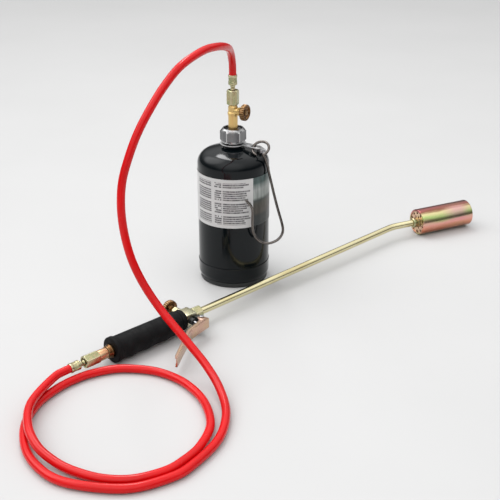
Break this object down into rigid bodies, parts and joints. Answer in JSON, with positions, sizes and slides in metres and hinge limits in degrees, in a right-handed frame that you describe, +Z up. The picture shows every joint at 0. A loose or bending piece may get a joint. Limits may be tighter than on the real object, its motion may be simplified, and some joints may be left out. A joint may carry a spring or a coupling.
{
  "type": "propane torch",
  "caption": "Long bent gas torch with burner bell, grip, trigger lever and flow knob, joined by a coiled hose to the valve of a small gas cylinder with a hook.",
  "frame": {"origin": "on the floor, under the middle of the bounding box of the hard parts, hose and ferrules left out", "axes": "+X along the lance towards the burner, +Y towards the cylinder, +Z up"},
  "size_m": [0.864, 0.3632, 0.3514],
  "materials": {
    "steel_green": "glossy enamel, almost black green",
    "foot_black": "satin black",
    "label_paper": "printed film, matt",
    "bright_steel": "satin zinc plate",
    "dark_wire": "darkened bright wire",
    "brass": "turned, slightly tarnished",
    "yellow_zinc": "yellow passivated zinc plate",
    "rainbow_zinc": "iridescent passivated zinc plate",
    "pink_zinc": "iridescent passivated zinc plate",
    "grip_black": "soft matt grip",
    "seal_rubber": "black rubber",
    "hose_red": "smooth glossy"
  },
  "bodies": {
    "torch": {"adapter_seal": "seal_rubber", "burner_back_plate": "yellow_zinc", "burner_collar": "yellow_zinc", "burner_shell": "rainbow_zinc", "cylinder_base_cup": "steel_green", "cylinder_nut": "bright_steel", "cylinder_shell": "steel_green", "cylinder_valve_core": "brass", "ferrule_top": "yellow_zinc", "ferrule_torch": "yellow_zinc", "flow_gland_nut": "yellow_zinc", "foot_ring": "foot_black", "gas_jet": "brass", "gas_pipe": "yellow_zinc", "grip": "grip_black", "hose": "hose_red", "hose_nut_top": "yellow_zinc", "hose_nut_torch": "yellow_zinc", "hose_stem_top": "yellow_zinc", "hose_stem_torch": "yellow_zinc", "inlet_nipple": "yellow_zinc", "label_sleeve": "label_paper", "lance_nut": "yellow_zinc", "lance_tube": "yellow_zinc", "neck_boss": "steel_green", "plunger_gland_nut": "foot_black", "plunger_seal": "seal_rubber", "plunger_spring": "bright_steel", "rear_collar": "brass", "relief_valve": "bright_steel", "ring_bracket": "bright_steel", "torch_valve_body": "yellow_zinc", "trigger_bracket": "foot_black", "trigger_pivot_pin": "bright_steel", "valve_body": "brass", "valve_gland_nut": "brass"},
    "valve_control": {"valve_knob": "brass", "valve_spindle": "brass", "valve_knob_screw": "bright_steel"},
    "flow_control": {"flow_knob": "brass", "flow_spindle": "brass", "flow_knob_screw": "bright_steel"},
    "trigger": {"trigger_lever": "pink_zinc"},
    "plunger": {"trigger_plunger": "bright_steel"},
    "hook": {"carry_hook": "dark_wire"}
  },
  "joints": [
    {"name": "valve_turn", "type": "hinge", "parent": "torch", "child": "valve_control", "pos_m": [-0.0354, 0.0532, 0.241], "axis": [0.309, -0.9511, 0], "range_deg": [0, 540]},
    {"name": "flow_turn", "type": "hinge", "parent": "torch", "child": "flow_control", "pos_m": [-0.1924, -0.0258, 0.0172], "axis": [0, 1, 0], "range_deg": [0, 540]},
    {"name": "trigger_squeeze", "type": "hinge", "parent": "torch", "child": "trigger", "pos_m": [-0.1857, -0.0468, 0.01724], "axis": [0.006, 0, -1], "range_deg": [0, 20], "stiffness_Nm_per_rad": 0.5, "springref_deg": -11.46},
    {"name": "plunger_slide", "type": "slide", "parent": "torch", "child": "plunger", "axis": [0, 1, 0], "range_m": [0, 0.0032], "deforming": ["plunger_spring"]},
    {"name": "hook_swing", "type": "hinge", "parent": "torch", "child": "hook", "pos_m": [-0.02171, 0.01378, 0.19441], "axis": [-0.5632, -0.2511, 0.7873], "range_deg": [0, 75]}
  ],
  "couplings": [
    {"joint": "plunger_slide", "follows": "trigger_squeeze", "m_per_rad": 0.0087}
  ]
}
